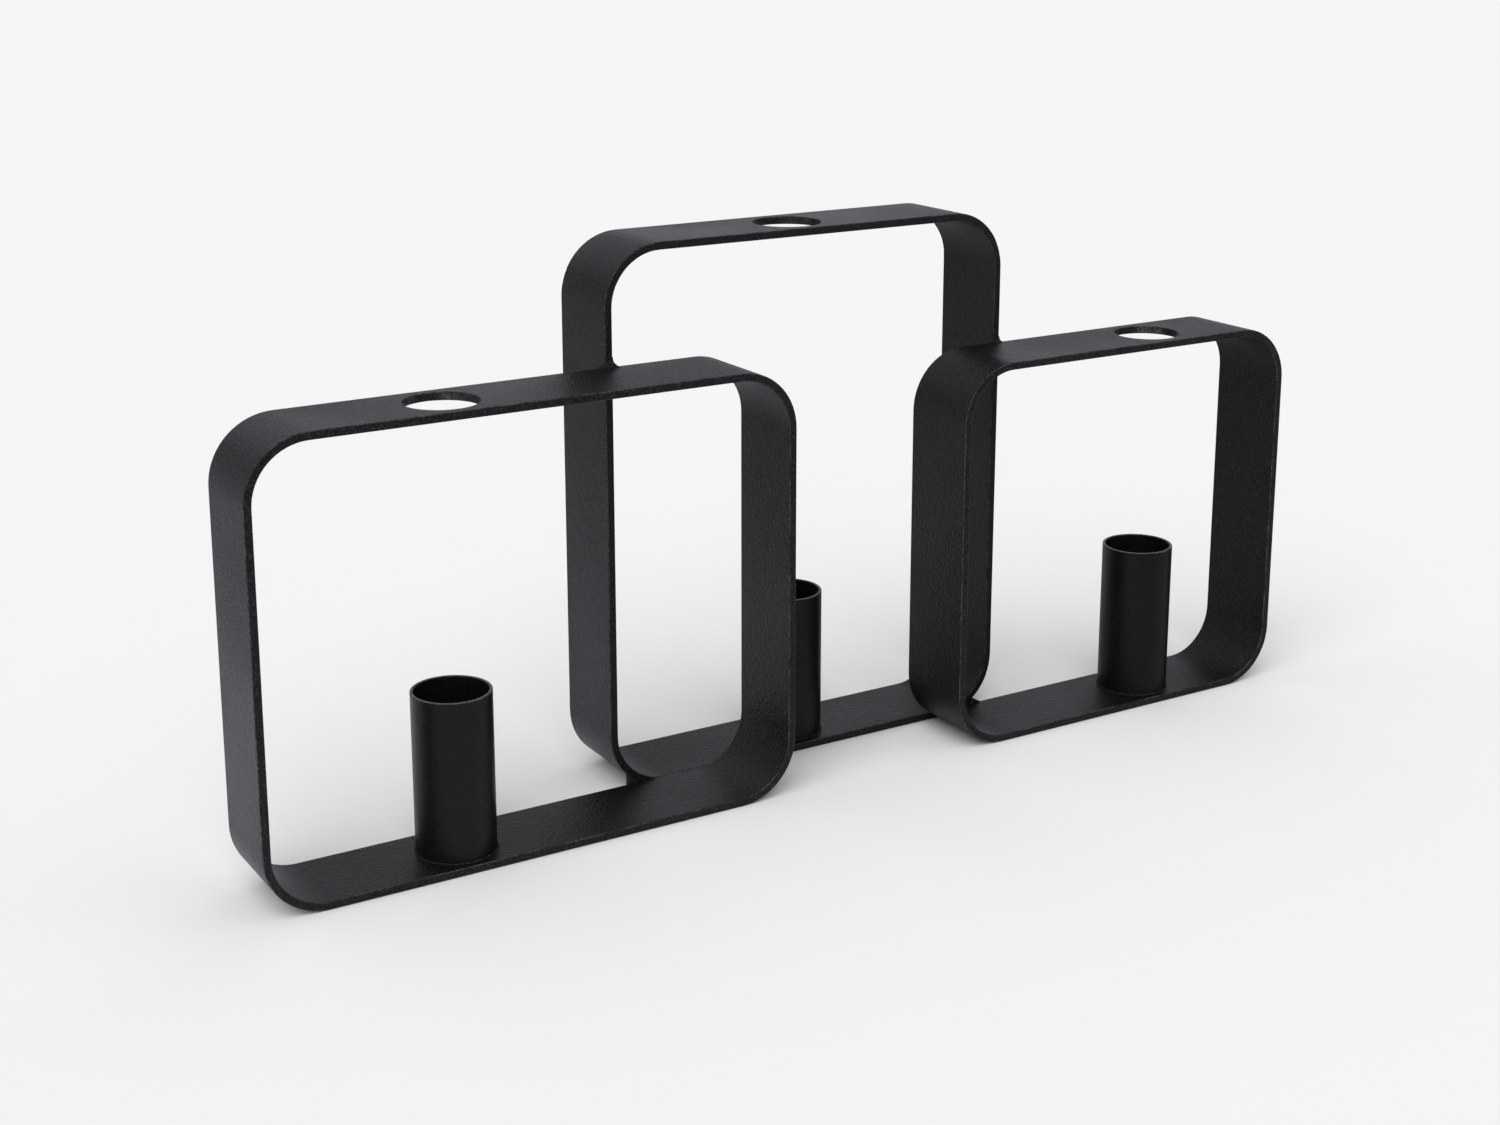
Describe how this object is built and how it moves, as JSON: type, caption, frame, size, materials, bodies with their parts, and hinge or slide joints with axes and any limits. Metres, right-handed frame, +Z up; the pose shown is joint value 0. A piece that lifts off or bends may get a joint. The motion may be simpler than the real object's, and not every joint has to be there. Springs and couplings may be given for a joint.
{
  "type": "tabletop candelabra",
  "caption": "Free-standing candle holder of overlapping rounded frames in bent flat bar, each with a hole in its top and a tube cup below for a dinner candle.",
  "frame": {"origin": "centre of the overall footprint, on the table", "axes": "+X along the row of frames to the right, +Y to the back, +Z up"},
  "size_m": [0.3906, 0.06, 0.1815],
  "materials": {
    "coated_bar": "matt black powder coat with a fine grain",
    "coated_cup": "matt black powder coat with a fine grain",
    "coated_weld": "matt black powder coat over a weld bead"
  },
  "bodies": {
    "root": {"left_strip": "coated_bar", "left_seam": "coated_bar", "left_cup": "coated_cup", "left_cup_weld": "coated_weld", "middle_strip": "coated_bar", "middle_seam": "coated_bar", "middle_cup": "coated_cup", "middle_cup_weld": "coated_weld", "right_strip": "coated_bar", "right_seam": "coated_bar", "right_cup": "coated_cup", "right_cup_weld": "coated_weld", "left_top_weld": "coated_weld", "right_top_weld": "coated_weld", "left_foot_weld": "coated_weld", "right_foot_weld": "coated_weld"}
  },
  "joints": []
}
